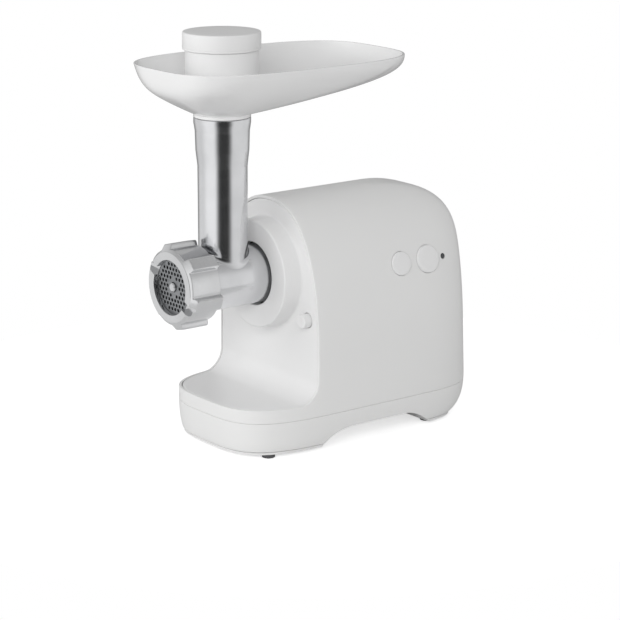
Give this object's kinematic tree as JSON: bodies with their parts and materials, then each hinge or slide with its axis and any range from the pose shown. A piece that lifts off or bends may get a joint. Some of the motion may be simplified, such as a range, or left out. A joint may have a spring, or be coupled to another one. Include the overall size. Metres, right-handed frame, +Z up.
{
  "type": "electric meat grinder",
  "caption": "Countertop electric meat grinder: moulded body with side buttons, bayonet grinding head with upright feed tube, ring nut and hole plate, feed tray and pusher.",
  "frame": {"origin": "centre of the bounding box's underside, on the table under the feet", "axes": "+Z up; the meat leaves towards -Y, so +Y is the back; +X is the side with the buttons"},
  "size_m": [0.151, 0.3108, 0.3675],
  "materials": {
    "white": "satin white moulded plastic",
    "tray_white": "glossy white moulded plastic",
    "cast_aluminium": "smooth satin die-cast aluminium",
    "steel": "machined steel",
    "brass": "sintered bearing bronze",
    "winding": "lacquered copper",
    "rubber": "dark matt rubber",
    "black": "black moulded plastic or carbon",
    "nylon": "natural nylon",
    "board": "green circuit board",
    "lens": "dark smoked lens",
    "film": "yellow film capacitor case"
  },
  "bodies": {
    "body": {"main_housing": "white", "front_fascia": "white", "base_case": "white", "bottom_plate": "white", "foot_front_left": "rubber", "foot_front_right": "rubber", "foot_rear_left": "rubber", "foot_rear_right": "rubber", "case_screw_1": "steel", "case_screw_2": "steel", "case_screw_3": "steel", "case_screw_4": "steel", "cord_gland": "rubber", "indicator_lens": "lens", "power_spring": "steel", "reverse_spring": "steel", "power_switch": "black", "reverse_switch": "black", "control_board": "board", "lock_spring": "steel", "head_socket": "steel", "gearbox_case": "cast_aluminium", "gearbox_cover": "cast_aluminium", "output_bush": "brass", "gear_two_pin": "steel", "gear_one_pin": "steel", "stator_core": "steel", "field_coil_top": "winding", "field_coil_bottom": "winding", "motor_rear_bracket": "black", "motor_bolt_left": "steel", "motor_bolt_right": "steel", "front_bearing": "steel", "rear_bearing": "steel", "brush_left": "black", "brush_right": "black", "suppression_capacitor": "film"},
    "rotor": {"motor_pinion": "steel", "motor_shaft": "steel", "rotor_core": "steel", "commutator": "winding", "motor_fan": "nylon"},
    "first_gear": {"gear_one": "nylon"},
    "second_gear": {"gear_two": "nylon"},
    "drive": {"output_gear": "steel", "output_shaft": "steel", "auger": "cast_aluminium", "knife": "steel"},
    "head": {"head_housing": "cast_aluminium", "feed_tube": "cast_aluminium", "auger_bush": "nylon"},
    "plate": {"hole_plate": "steel"},
    "ring": {"ring_nut": "cast_aluminium"},
    "tray": {"tray": "tray_white"},
    "pusher": {"pusher": "white"},
    "lid": {"pusher_cap": "white"},
    "power": {"power_button": "white"},
    "reverse": {"reverse_button": "white"},
    "lock": {"lock_button": "white", "lock_bolt": "steel"}
  },
  "joints": [
    {"name": "motor_spin", "type": "hinge", "parent": "body", "child": "rotor", "pos_m": [0, 0.0122, 0.05884], "axis": [0, 1, 0], "continuous": true},
    {"name": "first_gear_spin", "type": "hinge", "parent": "body", "child": "first_gear", "pos_m": [-0.006, 0.0042, 0.09205], "axis": [0, 1, 0], "continuous": true},
    {"name": "second_gear_spin", "type": "hinge", "parent": "body", "child": "second_gear", "pos_m": [0.022, -0.0028, 0.11699], "axis": [0, 1, 0], "continuous": true},
    {"name": "auger_spin", "type": "hinge", "parent": "body", "child": "drive", "pos_m": [0, -0.0278, 0.1504], "axis": [0, 1, 0], "continuous": true},
    {"name": "head_twist", "type": "hinge", "parent": "body", "child": "head", "pos_m": [0, -0.0378, 0.1504], "axis": [0, 1, 0], "range_deg": [0, 45]},
    {"name": "ring_turn", "type": "hinge", "parent": "plate", "child": "ring", "pos_m": [0, -0.1278, 0.1504], "axis": [0, -1, 0], "range_deg": [0, 1080]},
    {"name": "plate_slide", "type": "slide", "parent": "head", "child": "plate", "axis": [0, -1, 0], "range_m": [0, 0.009]},
    {"name": "tray_lift", "type": "slide", "parent": "head", "child": "tray", "axis": [0, 0, 1], "range_m": [0, 0.05]},
    {"name": "pusher_lift", "type": "slide", "parent": "tray", "child": "pusher", "axis": [0, 0, 1], "range_m": [0, 0.11]},
    {"name": "lid_lift", "type": "slide", "parent": "pusher", "child": "lid", "axis": [0, 0, 1], "range_m": [0, 0.012]},
    {"name": "power_press", "type": "slide", "parent": "body", "child": "power", "axis": [-0.9654, 0, -0.2607], "range_m": [0, 0.002], "stiffness_N_per_m": 500, "springref_m": -0.002},
    {"name": "reverse_press", "type": "slide", "parent": "body", "child": "reverse", "axis": [-0.9654, 0, -0.2607], "range_m": [0, 0.002], "stiffness_N_per_m": 500, "springref_m": -0.002},
    {"name": "lock_press", "type": "slide", "parent": "body", "child": "lock", "axis": [0, 1, 0], "range_m": [0, 0.0035], "stiffness_N_per_m": 800, "springref_m": -0.002}
  ],
  "couplings": [
    {"joint": "first_gear_spin", "follows": "motor_spin", "ratio": -0.2},
    {"joint": "second_gear_spin", "follows": "motor_spin", "ratio": 0.05},
    {"joint": "auger_spin", "follows": "motor_spin", "ratio": -0.016667},
    {"joint": "plate_slide", "follows": "ring_turn", "m_per_rad": 0.00047746}
  ]
}
